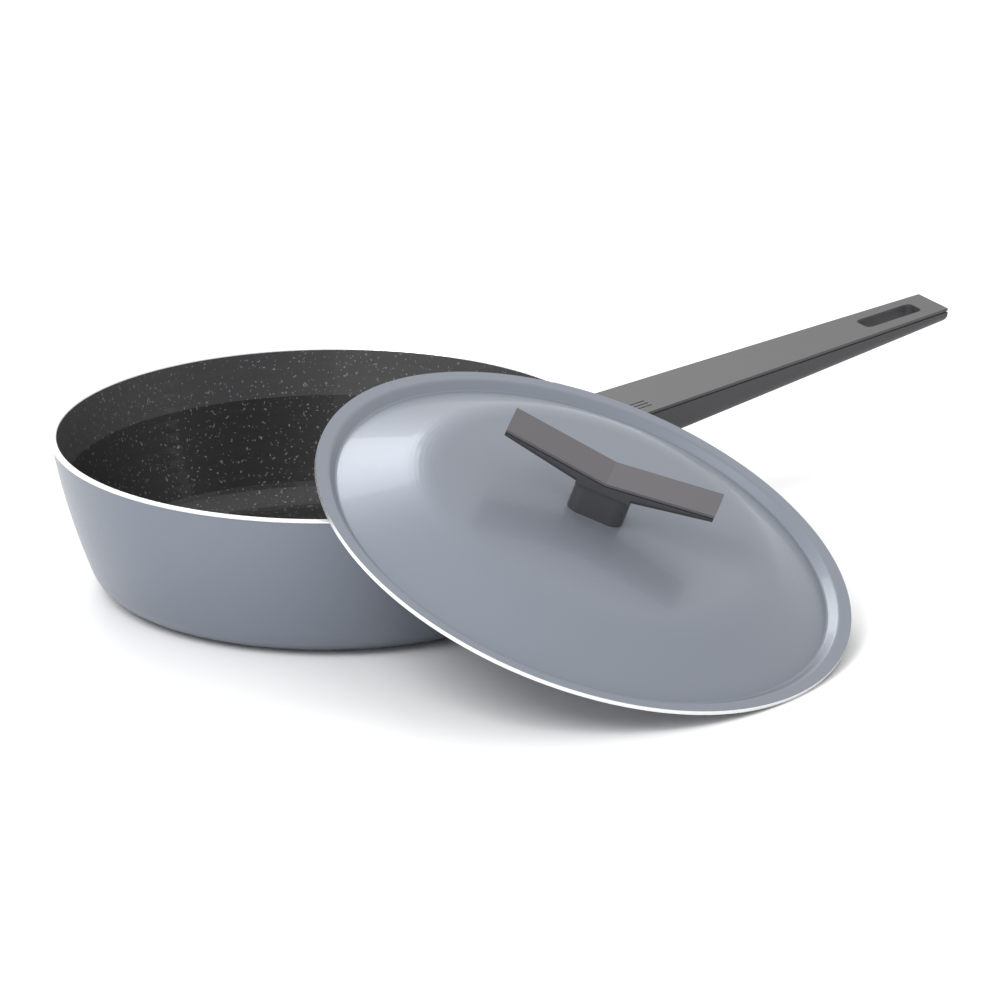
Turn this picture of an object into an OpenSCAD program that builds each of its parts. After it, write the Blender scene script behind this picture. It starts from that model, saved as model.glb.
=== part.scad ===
// Saute pan with a lid that leans on its rim and on the table.
// The pan stands at the origin, its handle points along +X, and +Z is up.
// All lengths are in millimetres and all angles in degrees.

/* [Pan] */
// Diameter over the rim bead
pan_d = 260; // [200:1:320]
// Height from the table to the top of the rim
pan_h = 73.5; // [60:0.5:100]
// Diameter of the flat base
base_d = 188; // [150:1:230]
// Outer radius between base and wall
corner_r = 19; // [10:0.5:30]
// Angle of the wall from the vertical where it leaves the corner
foot_angle = 22; // [16:0.5:28]
// How far the wall bows out from a straight line
wall_bow = 1.6; // [0.5:0.1:3]
// Thickness of the wall
wall_t = 2.5; // [1.6:0.1:4]
// Thickness of the base
base_t = 3.5; // [2:0.1:6]
// How far the rim bead stands out from the wall
bead_out = 0.7; // [0.3:0.1:1.5]
// Height of the rim bead
bead_h = 1.4; // [0.8:0.1:3]

/* [Lid] */
// Diameter of the lid over its brim
lid_d = 259.5; // [200:0.5:320]
// Thickness of the lid's sheet
lid_t = 1.2; // [0.8:0.1:2]
// Width of the flat brim
brim_w = 6.2; // [3:0.1:10]
// Thickness of the rolled edge of the brim
edge_t = 2; // [1.4:0.1:3]
// Width of the rolled edge of the brim
edge_w = 1.4; // [0.8:0.1:3]
// Depth of the groove inside the brim
groove_drop = 3.6; // [2:0.1:6]
// Width of the slope from the brim down to the groove
groove_w = 4.4; // [3:0.1:8]
// Diameter of the shoulder where the dome levels out
shoulder_d = 166; // [120:1:200]
// Height of the shoulder above the brim
shoulder_h = 15.8; // [8:0.1:24]
// Height of the dome's flat middle above the brim
dome_h = 17.4; // [10:0.1:30]
// Diameter of the dome's flat middle
seat_d = 36; // [30:1:60]

/* [Knob] */
// Length of the knob's bar from tip to tip
bar_len = 103; // [80:1:130]
// Width of the bar
bar_w = 22; // [16:0.5:30]
// Height of the bar's middle above the flat middle of the dome
bar_h = 20.8; // [16:0.1:30]
// How far the tips stand above the middle of the bar
tip_rise = 6.3; // [2:0.1:12]
// Thickness of the bar at its tips
tip_t = 4.6; // [3:0.1:8]
// Thickness of the bar beside the boss
root_t = 7.4; // [5:0.1:10]
// Length of the boss under the bar
boss_len = 27; // [20:0.5:40]
// Width of the boss
boss_w = 20; // [14:0.5:26]
// Radius of the bar's lower edges
bar_edge_r = 3; // [1:0.1:4]
// Angle of the bar from the line of steepest slope of the leaning lid
bar_turn = 24; // [0:1:180]

/* [Handle] */
// Distance from the middle of the pan to the tip of the handle
handle_reach = 330; // [260:1:400]
// Height of the handle's tip above the rim
tip_up = 8.5; // [0:0.5:30]
// Slope of the handle's top
top_slope = 7; // [0:0.5:15]
// Slope of the handle's underside
under_slope = 10.2; // [4:0.1:18]
// Thickness of the handle at its tip
handle_tip_t = 7; // [6:0.1:12]
// Width of the handle at its tip
handle_tip_w = 26; // [20:0.5:34]
// Angle by which each side of the handle runs outwards towards the pan
handle_taper = 2.23; // [0:0.01:4]
// Radius of the handle's lower edges
grip_edge_r = 5; // [2:0.1:6]
// Radius of the tip's lower corner, seen from the side
tip_corner_r = 4.5; // [2:0.1:6]
// Length of the hanging slot
slot_len = 30.5; // [20:0.5:50]
// Width of the hanging slot
slot_w = 12.5; // [8:0.1:16]
// Radius of the slot's corners
slot_r = 3; // [1:0.1:4]
// Distance from the slot to the handle's tip
slot_end = 9.5; // [6:0.5:20]
// Length of the grip marks near the pan
mark_len = 17; // [8:0.5:30]
// Distance from the middle of the pan to the outer ends of the grip marks
mark_reach = 167; // [160:1:200]

/* [Top panels] */
// Thickness of the top panels of handle and knob
panel_t = 1.2; // [0.8:0.1:2]
// Height of the seam below the panels
seam_h = 0.7; // [0.4:0.1:1.2]
// Depth of the seam below the panels
seam_in = 0.6; // [0.3:0.1:1.2]

/* [Fixings] */
// Height on the wall where the bracket is riveted
bracket_z = 48.5; // [35:0.5:60]
// Width of the bracket's plate along the wall
bracket_w = 34; // [28:0.5:38]
// Height of the bracket's plate
bracket_h = 15; // [14:0.5:24]
// Thickness of the bracket's plate
bracket_t = 2; // [1.5:0.1:3]
// Length of the tongue beyond the wall
tongue_len = 46; // [40:1:70]
// Width of the tongue
tongue_w = 14; // [12:0.5:18]
// Thickness of the tongue
tongue_t = 3; // [2:0.1:4]
// Distance between the two rivets
rivet_gap = 23; // [20:0.5:26]
// Diameter of a rivet's shank
rivet_d = 4.8; // [3:0.1:6]
// Diameter of a rivet's head
rivet_head_d = 8.4; // [7:0.1:10]
// Height of a rivet's head
rivet_head_h = 1.6; // [1:0.1:3]
// Diameter of the screws in handle and knob
screw_d = 5; // [4:0.1:6]
// Diameter of the screw heads
screw_head_d = 8.6; // [7:0.1:11]
// Height of the screw heads
screw_head_h = 2.6; // [2:0.1:4]
// Thickness of the washers
washer_t = 1; // [0.6:0.1:2]
// Diameter of the washers
washer_d = 10; // [9:0.1:14]
// Distance from the tongue's end to the handle screw
screw_inset = 8; // [6:0.5:12]
// Length of the knob's threaded insert
insert_len = 10; // [8:0.5:14]
// Diameter of the knob's threaded insert
insert_d = 9; // [7:0.1:12]

/* [Lean] */
// Tilt of the leaning lid
lean_tilt = 23.4; // [15:0.1:35]
// Direction in which the lid slopes down
lean_turn = -65.8; // [-180:0.1:180]
// Direction from the pan's middle to the lid's middle
lean_place = -70.6; // [-180:0.1:180]
// Gap between the lid and the rim where they come closest
lean_gap = 0.3; // [0.1:0.05:1]
// Clearance between pieces that are fixed together
fit = 0.05; // [0.02:0.01:0.15]

/* [Hidden] */
$fn = 96;
far = 400;
arc_steps = 8;
wall_steps = 10;

// Points of an arc of radius r about c, from angle a to angle b
function arc(c, r, a, b, n = arc_steps) =
    [for (i = [0:n]) let (t = a + (b - a) * i / n) c + r * [cos(t), sin(t)]];

// Points strictly between p and q on a shallow arc that bows out to the right by s
function bow(p, q, s, n = wall_steps) =
    let (m = [q.y - p.y, p.x - q.x] / norm(q - p))
    [for (i = [1:n - 1]) let (t = i / n) p + t * (q - p) + 4 * s * t * (1 - t) * m];

// The corner at q between p and s, rounded with radius r
function rounded(p, q, s, r, n = arc_steps) =
    let (u = (p - q) / norm(p - q),
         v = (s - q) / norm(s - q),
         half = acos(u * v) / 2,
         c = q + (u + v) / norm(u + v) * r / sin(half),
         a = q + u * r / tan(half) - c,
         b = q + v * r / tan(half) - c,
         start = atan2(a.y, a.x),
         d = atan2(b.y, b.x) - start,
         turn = d > 180 ? d - 360 : d < -180 ? d + 360 : d)
    arc(c, r, start, start + turn, n);

function reversed(list) = [for (i = [len(list) - 1:-1:0]) list[i]];

// An outline that runs outwards, moved down by t along its normals
function lowered(list, t) =
    [for (i = [0:len(list) - 1])
        let (d = list[min(i + 1, len(list) - 1)] - list[max(i - 1, 0)], e = d / norm(d))
        list[i] + t * [e.y, -e.x]];

// Outline of the pan: corner, bowed wall and bead
rim_r = pan_d / 2;
wall_top = [rim_r - bead_out, pan_h - bead_h];
corner_c = [base_d / 2, corner_r];
foot = corner_c + corner_r * [cos(foot_angle), -sin(foot_angle)];
outer_wall = concat([foot], bow(foot, wall_top, wall_bow), [wall_top]);
inner_corner_r = corner_r - wall_t;
inner_c = [base_d / 2, base_t + inner_corner_r];
inner_foot = inner_c + inner_corner_r * [cos(foot_angle), -sin(foot_angle)];
inner_top = [rim_r - bead_out - wall_t, pan_h - bead_h / 2];
bead_r = bead_h / 2;
pan_outline = concat(
    [[0, 0]], arc(corner_c, corner_r, -90, -foot_angle), bow(foot, wall_top, wall_bow), [wall_top],
    arc([rim_r - bead_r, pan_h - bead_r], bead_r, -70, 90),
    arc(inner_top + [bead_r, 0], bead_r, 90, 180),
    reversed(bow(inner_foot, inner_top, wall_bow)),
    reversed(arc(inner_c, inner_corner_r, -90, -foot_angle)), [[0, base_t]]);
wall_table = [for (p = outer_wall) [p.y, p.x]];
function wall_r(z) = lookup(z, wall_table);

// Outline of the lid, with its brim's top at height 0
lid_r = lid_d / 2;
brim_in = lid_r - brim_w;
seat_edge = [seat_d / 2, dome_h];
shoulder = [shoulder_d / 2, shoulder_h];
groove = [brim_in - groove_w, -groove_drop];
brim_start = [brim_in, 0];
shoulder_round = 40;
groove_round = 1.5;
brim_round = 3;
lid_top = concat([[0, dome_h], seat_edge],
    rounded(seat_edge, shoulder, groove, shoulder_round),
    rounded(shoulder, groove, brim_start, groove_round),
    rounded(groove, brim_start, [lid_r, 0], brim_round), [[lid_r, 0]]);
lid_under = lowered(lid_top, lid_t);
lid_outline = concat(lid_top, [[lid_r, -edge_t], [lid_r - edge_w, -edge_t], [lid_r - edge_w, -lid_t]],
    [for (i = [len(lid_under) - 2:-1:0]) lid_under[i]]);

// Place of the leaning lid: its edge on the table, its underside just clear of the rim
lid_axis = [cos(lean_turn) * sin(lean_tilt), sin(lean_turn) * sin(lean_tilt), cos(lean_tilt)];
lid_z = lid_r * sin(lean_tilt) + edge_t * cos(lean_tilt);
rim_points = [for (a = [lean_place - 100:0.75:lean_place + 100], p = [[rim_r - bead_out, pan_h], [rim_r, pan_h - bead_r]])
    [p.x * cos(a), p.x * sin(a), p.y]];
function lid_centre(d) = [d * cos(lean_place), d * sin(lean_place), lid_z];
function gap_at(d) = let (c = lid_centre(d))
    min([for (p = rim_points) let (q = p - c, h = q * lid_axis, rho = norm(q - h * lid_axis))
        rho < lid_r ? lookup(rho, lid_under) - h : far]);
function lean_distance(near, away, n) = let (mid = (near + away) / 2)
    n == 0 ? away : gap_at(mid) < lean_gap ? lean_distance(mid, away, n - 1) : lean_distance(near, mid, n - 1);
lean_d = lean_distance(rim_r / 2, rim_r * 2, 18);

// Heights of the knob's bar above the dome's flat middle
half_bar = bar_len / 2;
function bar_top(x) = bar_h + tip_rise * abs(x) / half_bar;
root_x = boss_len / 2;
root_z = bar_top(root_x) - root_t;
tip_z = bar_top(half_bar) - tip_t;
boss_round = 6;
screw_hole_r = screw_d / 2 + 0.3;
recess_gap = 0.3;
tread_r = screw_d / 2 + fit;
socket_r = 1.7;
socket_depth = 1.4;

// Lines of the handle, seen from the side
tip_z_top = pan_h + tip_up;
function grip_top(x) = tip_z_top - tan(top_slope) * (handle_reach - x);
function grip_under(x) = tip_z_top - handle_tip_t - tan(under_slope) * (handle_reach - x);
function grip_half(x) = handle_tip_w / 2 + tan(handle_taper) * (handle_reach - x);
front_x = base_d / 2 + 10;
front_gap = bracket_t + 2 * fit;
tongue_slope = (top_slope + under_slope) / 2;
bracket_x = wall_r(bracket_z);
wall_lean = atan((wall_r(bracket_z + 2) - wall_r(bracket_z - 2)) / 4);
rivet_turn = asin(rivet_gap / 2 / bracket_x);
screw_place = tongue_len - screw_inset;
screw_seat = 4.5;
mark_rows = [-5.6, -9, -12.4];
mark_w = 0.9;
mark_depth = 0.5;

// A rectangle of true round corners, centred
module rounded_rect(w, h, r) {
    square([w - 2 * r, h], center = true);
    square([w, h - 2 * r], center = true);
    for (x = [-1, 1], y = [-1, 1]) translate([x * (w / 2 - r), y * (h / 2 - r)]) circle(r);
}

// Puts the lid and what is on it in the leaning pose
module leaning() {
    translate(lid_centre(lean_d)) rotate([0, 0, lean_turn]) rotate([0, lean_tilt, 0]) children();
}

// Puts the knob's pieces on the dome's flat middle
module on_dome() {
    leaning() translate([0, 0, dome_h]) rotate([0, 0, bar_turn]) children();
}

// Puts a rivet's axis through the wall, with height 0 on the wall's outside
module at_rivets() {
    for (s = [-1, 1]) rotate([0, 0, s * rivet_turn]) translate([bracket_x, 0, bracket_z])
        rotate([0, 90 + wall_lean, 0]) children();
}

// Puts the tongue's frame on the wall, with +X along the tongue
module at_tongue() {
    translate([bracket_x, 0, bracket_z]) rotate([0, -tongue_slope, 0]) children();
}

// The space that the wall takes up, grown outwards
module wall_space(grow) {
    heights = [for (i = [0:wall_steps]) foot.y + (wall_top.y - foot.y) * i / wall_steps];
    rotate_extrude() polygon(concat([[0, foot.y]], [for (z = heights) [wall_r(z) + grow, z]],
        [[rim_r + grow, pan_h + tip_up], [0, pan_h + tip_up]]));
}

module pan_body() {
    color("slategray") difference() {
        rotate_extrude() polygon(pan_outline);
        at_rivets() cylinder(h = 4 * wall_t, r = rivet_d / 2 + fit, center = true);
    }
}

module handle_bracket() {
    z0 = bracket_z - bracket_h / 2;
    heights = [for (i = [0:4]) z0 + bracket_h * i / 4];
    turn = asin(bracket_w / 2 / bracket_x);
    color("silver") difference() {
        union() {
            rotate([0, 0, -turn]) rotate_extrude(angle = 2 * turn) polygon(concat(
                [for (z = heights) [wall_r(z) + fit, z]],
                reversed([for (z = heights) [wall_r(z) + fit + bracket_t, z]])));
            at_tongue() translate([bracket_t / 2, -tongue_w / 2, -tongue_t / 2])
                cube([tongue_len - bracket_t / 2, tongue_w, tongue_t]);
        }
        at_rivets() cylinder(h = 8 * bracket_t, r = rivet_d / 2 + fit, center = true);
        at_tongue() translate([screw_place, 0, 0]) cylinder(h = 2 * tongue_t, r = tread_r, center = true);
    }
}

module bracket_rivets() {
    inside = wall_t + recess_gap;
    outside = bracket_t + 3 * fit;
    color("lightgray") at_rivets() {
        translate([0, 0, -inside]) cylinder(h = inside + outside, r = rivet_d / 2);
        translate([0, 0, -inside - rivet_head_h]) cylinder(h = rivet_head_h, r = rivet_head_d / 2);
        translate([0, 0, outside]) cylinder(h = rivet_head_h, r = rivet_head_d / 2);
    }
}

// The space on the inner side of one of the handle's sides, with its lower edge rounded
module side_space() {
    edge = grip_edge_r;
    translate([handle_reach, 0, grip_under(handle_reach)]) rotate([0, -under_slope, 0])
        translate([0, handle_tip_w / 2, 0]) rotate([0, 0, -handle_taper]) translate([-handle_reach, 0, 0])
        rotate([90, 0, 90]) linear_extrude(2 * handle_reach) difference() {
            translate([-far, -1]) square([far, far / 2]);
            difference() {
                translate([-edge, -2]) square([edge + 1, edge + 2]);
                translate([-edge, edge]) circle(edge);
            }
        }
}

// The handle's solid below a depth under its top
module grip_solid(depth) {
    tip = [handle_reach, grip_under(handle_reach)];
    front = [front_x, grip_under(front_x)];
    top = [handle_reach, tip_z_top - depth];
    side = concat([front], rounded(front, tip, top, min(tip_corner_r, (handle_tip_t - depth) * 0.8)),
        [top, [front_x, grip_top(front_x) - depth]]);
    intersection() {
        rotate([90, 0, 0]) linear_extrude(far, center = true) polygon(side);
        side_space();
        mirror([0, 1, 0]) side_space();
    }
}

// A plate between two depths below the handle's top, narrower by inset all round
module grip_layer(upper, lower, inset) {
    side = [[front_x, grip_top(front_x) - lower], [handle_reach, tip_z_top - lower],
        [handle_reach, tip_z_top - upper], [front_x, grip_top(front_x) - upper]];
    tip = handle_reach - inset;
    plan = [[front_x, -grip_half(front_x) + inset], [tip, -handle_tip_w / 2 + inset],
        [tip, handle_tip_w / 2 - inset], [front_x, grip_half(front_x) - inset]];
    intersection() {
        rotate([90, 0, 0]) linear_extrude(handle_reach, center = true) polygon(side);
        linear_extrude(far) polygon(plan);
    }
}

module hanging_slot() {
    x = handle_reach - slot_end - slot_len / 2;
    translate([x, 0, grip_top(x)]) rotate([0, -top_slope, 0])
        linear_extrude(6 * handle_tip_t, center = true) rounded_rect(slot_len, slot_w, slot_r);
}

module handle_grip() {
    color([0.2, 0.2, 0.21]) difference() {
        union() {
            grip_solid(panel_t + seam_h);
            grip_layer(panel_t, panel_t + 2 * seam_h, seam_in);
        }
        wall_space(front_gap);
        hanging_slot();
        at_rivets() cylinder(h = front_gap + rivet_head_h + recess_gap, r = rivet_head_d / 2 + recess_gap);
        at_tongue() {
            translate([0, -tongue_w / 2 - fit, -tongue_t / 2 - fit])
                cube([tongue_len + recess_gap, tongue_w + 2 * fit, tongue_t + 2 * fit]);
            translate([screw_place, 0, -screw_seat]) cylinder(h = 2 * screw_seat - 1, r = screw_hole_r);
            translate([screw_place, 0, -screw_seat - 4 * handle_tip_t])
                cylinder(h = 4 * handle_tip_t, r = washer_d / 2 + recess_gap);
        }
    }
}

module handle_panel() {
    color([0.27, 0.27, 0.28]) difference() {
        grip_layer(0, panel_t, 0);
        wall_space(front_gap);
        hanging_slot();
        for (y = mark_rows) translate([mark_reach, y, grip_top(mark_reach)]) rotate([0, -top_slope, 0])
            translate([-mark_len, -mark_w / 2, -mark_depth]) cube([mark_len, mark_w, 2 * mark_depth]);
    }
}

// A flat washer whose top is at height 0
module washer() {
    translate([0, 0, -washer_t]) difference() {
        cylinder(h = washer_t, r = washer_d / 2);
        translate([0, 0, -washer_t]) cylinder(h = 3 * washer_t, r = screw_hole_r);
    }
}

// A screw whose head bears on a washer, with height 0 on the washer's top
module screw(reach) {
    translate([0, 0, -washer_t]) difference() {
        union() {
            cylinder(h = reach + washer_t, r = screw_d / 2);
            translate([0, 0, -screw_head_h]) cylinder(h = screw_head_h, r = screw_head_d / 2);
        }
        translate([0, 0, -2 * screw_head_h]) cylinder(h = screw_head_h + socket_depth, r = socket_r, $fn = 6);
    }
}

module handle_washer() {
    color("silver") at_tongue() translate([screw_place, 0, -screw_seat]) washer();
}

module handle_screw() {
    color("silver") at_tongue() translate([screw_place, 0, -screw_seat]) screw(screw_seat + tongue_t / 2 + 0.5);
}

module lid_shell() {
    color("lightslategray") leaning() difference() {
        rotate_extrude() polygon(lid_outline);
        translate([0, 0, dome_h - 2 * lid_t]) cylinder(h = 4 * lid_t, r = screw_hole_r);
    }
}

// The bar between two depths below its top, narrower by inset all round
module bar_layer(upper, lower, inset) {
    x = half_bar - inset;
    rotate([90, 0, 0]) linear_extrude(bar_w - 2 * inset, center = true) polygon([
        [-x, bar_top(x) - lower], [0, bar_h - lower], [x, bar_top(x) - lower],
        [x, bar_top(x) - upper], [0, bar_h - upper], [-x, bar_top(x) - upper]]);
}

module bar_body() {
    depth = panel_t + seam_h;
    wing = norm([half_bar - root_x, tip_z - root_z]);
    rise = atan2(tip_z - root_z, half_bar - root_x);
    edge = bar_edge_r;
    difference() {
        rotate([90, 0, 0]) linear_extrude(bar_w, center = true) polygon([
            [-half_bar, tip_z], [-root_x, root_z], [root_x, root_z], [half_bar, tip_z],
            [half_bar, bar_top(half_bar) - depth], [0, bar_h - depth], [-half_bar, bar_top(half_bar) - depth]]);
        for (sx = [0, 1], sy = [0, 1]) mirror([sx, 0, 0]) mirror([0, sy, 0]) translate([root_x, 0, root_z])
            rotate([0, -rise, 0]) rotate([90, 0, 90]) linear_extrude(wing + edge) difference() {
                translate([bar_w / 2 - edge, -1]) square([edge + 1, edge + 1]);
                translate([bar_w / 2 - edge, edge]) circle(edge);
            }
    }
}

module knob_body() {
    color([0.17, 0.17, 0.18]) on_dome() difference() {
        union() {
            bar_body();
            bar_layer(panel_t, panel_t + 2 * seam_h, seam_in);
            linear_extrude(root_z + 1) rounded_rect(boss_len, boss_w, boss_round);
        }
        translate([0, 0, -1]) cylinder(h = insert_len + fit + 1, r = insert_d / 2 + fit);
    }
}

module knob_panel() {
    color([0.3, 0.29, 0.31]) on_dome() bar_layer(0, panel_t, 0);
}

module knob_insert() {
    color("goldenrod") on_dome() difference() {
        cylinder(h = insert_len, r = insert_d / 2);
        translate([0, 0, -1]) cylinder(h = insert_len + 2, r = tread_r);
    }
}

module knob_washer() {
    color("silver") on_dome() translate([0, 0, -lid_t]) washer();
}

module knob_screw() {
    color("silver") on_dome() translate([0, 0, -lid_t]) screw(lid_t + insert_len - 1);
}

pan_body();
handle_bracket();
bracket_rivets();
handle_grip();
handle_panel();
handle_washer();
handle_screw();
lid_shell();
knob_body();
knob_panel();
knob_insert();
knob_washer();
knob_screw();
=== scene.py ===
# %% [markdown]
# Saute pan with its lid leaning on the rim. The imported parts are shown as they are, and each gets a finish made
# from noise on its own coordinates. Lengths are in metres, +Z is up and +X runs along the handle.

# %% Frame
import math
import bpy
from mathutils import Matrix, Vector

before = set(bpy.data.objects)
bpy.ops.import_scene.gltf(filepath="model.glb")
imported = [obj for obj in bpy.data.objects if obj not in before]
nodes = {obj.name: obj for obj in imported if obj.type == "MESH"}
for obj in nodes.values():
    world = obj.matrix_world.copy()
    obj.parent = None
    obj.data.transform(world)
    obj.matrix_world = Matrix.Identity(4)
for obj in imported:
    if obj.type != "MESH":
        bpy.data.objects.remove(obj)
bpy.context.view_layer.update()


# %% [markdown]
# A socket that can be added and multiplied, so that shader sums read like sums.

# %% Shader maths
class Socket:
    def __init__(self, tree, out):
        self.tree, self.out = tree, out

    def maths(self, kind, other, clamp=False):
        node = self.tree.nodes.new("ShaderNodeMath")
        node.operation = kind
        node.use_clamp = clamp
        self.tree.links.new(self.out, node.inputs[0])
        if isinstance(other, Socket):
            self.tree.links.new(other.out, node.inputs[1])
        else:
            node.inputs[1].default_value = other
        return Socket(self.tree, node.outputs[0])

    def __add__(self, other):
        return self.maths("ADD", other)

    def __sub__(self, other):
        return self.maths("SUBTRACT", other)

    def __mul__(self, other):
        return self.maths("MULTIPLY", other)

    def __gt__(self, other):
        return self.maths("GREATER_THAN", other)

    def __pow__(self, other):
        return self.maths("POWER", other)


def feed(tree, socket, target):
    tree.links.new(socket.out, target)


def finish_of(name, colour, roughness, metallic=0.0, coat=0.0):
    mat = bpy.data.materials.new(name)
    mat.use_nodes = True
    shader = mat.node_tree.nodes["Principled BSDF"]
    shader.inputs["Base Color"].default_value = (*colour, 1)
    shader.inputs["Roughness"].default_value = roughness
    shader.inputs["Metallic"].default_value = metallic
    shader.inputs["Coat Weight"].default_value = coat
    return mat, mat.node_tree, shader


def noise(tree, scale, detail=3.0):
    coords = tree.nodes.new("ShaderNodeTexCoord")
    node = tree.nodes.new("ShaderNodeTexNoise")
    node.inputs["Scale"].default_value = scale
    node.inputs["Detail"].default_value = detail
    tree.links.new(coords.outputs["Object"], node.inputs["Vector"])
    return Socket(tree, node.outputs[0])


def place(tree):
    """Object coordinates as (x, y, z) sockets."""
    coords = tree.nodes.new("ShaderNodeTexCoord")
    split = tree.nodes.new("ShaderNodeSeparateXYZ")
    tree.links.new(coords.outputs["Object"], split.inputs[0])
    return [Socket(tree, out) for out in split.outputs]


def bump(tree, shader, height, strength, distance):
    node = tree.nodes.new("ShaderNodeBump")
    node.inputs["Strength"].default_value = strength
    node.inputs["Distance"].default_value = distance
    feed(tree, height, node.inputs["Height"])
    tree.links.new(node.outputs[0], shader.inputs["Normal"])


def blend(tree, factor, first, second):
    node = tree.nodes.new("ShaderNodeMix")
    node.data_type = "RGBA"
    node.inputs[6].default_value = (*first, 1)
    node.inputs[7].default_value = (*second, 1)
    if isinstance(second, bpy.types.NodeSocket):
        tree.links.new(second, node.inputs[7])
    feed(tree, factor, node.inputs[0])
    return Socket(tree, node.outputs[2])


# %% [markdown]
# Finishes. Each is given once to the parts that share it.

# %% Finishes
def painted(name, colour):
    mat, tree, shader = finish_of(name, colour, 0.38, 0.35, 0.15)
    grain = noise(tree, 900)
    feed(tree, grain * 0.16 + 0.3, shader.inputs["Roughness"])
    bump(tree, shader, grain, 0.06, 0.0002)
    return mat


def plastic(name, colour):
    mat, tree, shader = finish_of(name, colour, 0.5)
    grain = noise(tree, 1400)
    feed(tree, grain * 0.14 + 0.42, shader.inputs["Roughness"])
    bump(tree, shader, grain, 0.08, 0.0002)
    return mat


def metal(name, colour, roughness):
    mat, tree, shader = finish_of(name, colour, roughness, 1.0)
    feed(tree, noise(tree, 500) * 0.15 + roughness, shader.inputs["Roughness"])
    return mat


pan_paint = painted("Pan paint", (0.17, 0.19, 0.23))
lid_paint = painted("Lid paint", (0.2, 0.22, 0.26))
bare = metal("Bare aluminium", (0.86, 0.86, 0.87), 0.22)
steel = metal("Brushed steel", (0.62, 0.62, 0.63), 0.3)
brass = metal("Brass", (0.75, 0.58, 0.3), 0.3)
grip = plastic("Handle plastic", (0.04, 0.04, 0.043))
# The handle and knob top panels are separate parts of the same black plastic as the grip; their lighter colours
# are a painted highlight of the lit top faces.
panel = plastic("Handle panel", (0.055, 0.055, 0.058))
knob_panel_painted_highlight = plastic("Knob panel", (0.085, 0.08, 0.087))

# %% [markdown]
# The inside of the pan: a dark speckled coating with a ring of short strokes on the floor, and a painted sheen
# that lightens the upper inside wall.

# %% Coating
coating, tree, shader = finish_of("Coating", (0.02, 0.02, 0.021), 0.35, 0.0, 0.2)
x, y, z = place(tree)
speckle = noise(tree, 700, 2.0) > 0.66
radius = (x * x + y * y) ** 0.5
around = y.maths("ARCTAN2", x)
strokes = (around * 24).maths("SINE", 0) > 0.2
ring = (radius > 0.062) * (Socket(tree, radius.out) * -1 > -0.07)
low = z * -1 > -0.0045
mark = strokes * ring * low
# Speckle and floor strokes are the coating's own pattern; the 0.12 added above z = 0.052 is a painted sheen on
# the upper inside wall.
speckle_marks_and_painted_sheen = (speckle * 0.5 + mark * 0.25).maths("ADD", (z > 0.052) * 0.12, True)
feed(tree, blend(tree, speckle_marks_and_painted_sheen, (0.016, 0.016, 0.017), (0.3, 0.3, 0.31)), shader.inputs["Base Color"])

for name, mat in {
    "pan_body": pan_paint, "handle_bracket": steel, "bracket_rivets": bare, "handle_grip": grip,
    "handle_panel": panel, "handle_washer": steel, "handle_screw": steel, "lid_shell": lid_paint,
    "knob_body": grip, "knob_panel": knob_panel_painted_highlight, "knob_insert": brass, "knob_washer": steel, "knob_screw": steel,
}.items():
    mesh = nodes[name].data
    mesh.materials.clear()
    mesh.materials.append(mat)

# %% [markdown]
# Faces of the two sheets are sorted by where they lie: the inside of the pan gets the coating, and the pan's bead
# and the lid's edge stay bare.

# %% Bare edges
pan = nodes["pan_body"]
pan.data.materials.append(coating)
pan.data.materials.append(bare)
for face in pan.data.polygons:
    c = pan.matrix_world @ face.center
    n = pan.matrix_world.to_3x3() @ face.normal
    if c.z > 0.0716:
        face.material_index = 2
    elif n.x * c.x + n.y * c.y < -1e-7 or (n.z > 0.5 and c.z > 0.002):
        face.material_index = 1

lid = nodes["lid_shell"]
lid.data.materials.append(bare)
top = max((lid.matrix_world @ v.co for v in lid.data.vertices), key=lambda v: v.z)
low_point = min((lid.matrix_world @ v.co for v in lid.data.vertices), key=lambda v: v.z)
for face in lid.data.polygons:
    middle = (top + low_point) / 2
    if (lid.matrix_world @ face.center - middle).length > 0.1288:
        face.material_index = 1

# %% [markdown]
# The stage: a white floor that seems endless, soft light from above on the left, and the photo's camera.

# %% Stage
bpy.ops.mesh.primitive_plane_add(size=40, location=(0, 0, -0.0003))
floor = bpy.context.object
floor_paint, tree, shader = finish_of("Floor", (0.92, 0.92, 0.92), 0.6)
floor.data.materials.append(floor_paint)

world = bpy.data.worlds.new("White")
bpy.context.scene.world = world
world.use_nodes = True
world.node_tree.nodes["Background"].inputs[0].default_value = (1, 1, 1, 1)
world.node_tree.nodes["Background"].inputs[1].default_value = 1.0

for where, size, watts in (((-1.5, -0.6, 1.8), 1.2, 30), ((0.4, 1.6, 1.6), 1.0, 15)):
    bpy.ops.object.light_add(type="AREA", location=where)
    lamp = bpy.context.object
    lamp.data.size = size
    lamp.data.energy = watts
    lamp.rotation_euler = (-Vector(where)).to_track_quat("-Z", "Y").to_euler()

# %% Camera
bpy.ops.object.camera_add()
camera = bpy.context.object
forward = Vector((0.4816, 0.8176, -0.3155)).normalized()
right = forward.cross(Vector((0, 0, 1))).normalized()
up = right.cross(forward)
turn = Matrix((right, up, -forward)).transposed().to_4x4() @ Matrix.Rotation(math.radians(-0.37), 4, "Z")
camera.matrix_world = Matrix.Translation((-3.785, -6.581, 2.564)) @ turn
camera.data.sensor_width = 36
camera.data.lens = 620
camera.data.clip_end = 100
bpy.context.scene.camera = camera
bpy.context.scene.view_settings.view_transform = "Standard"
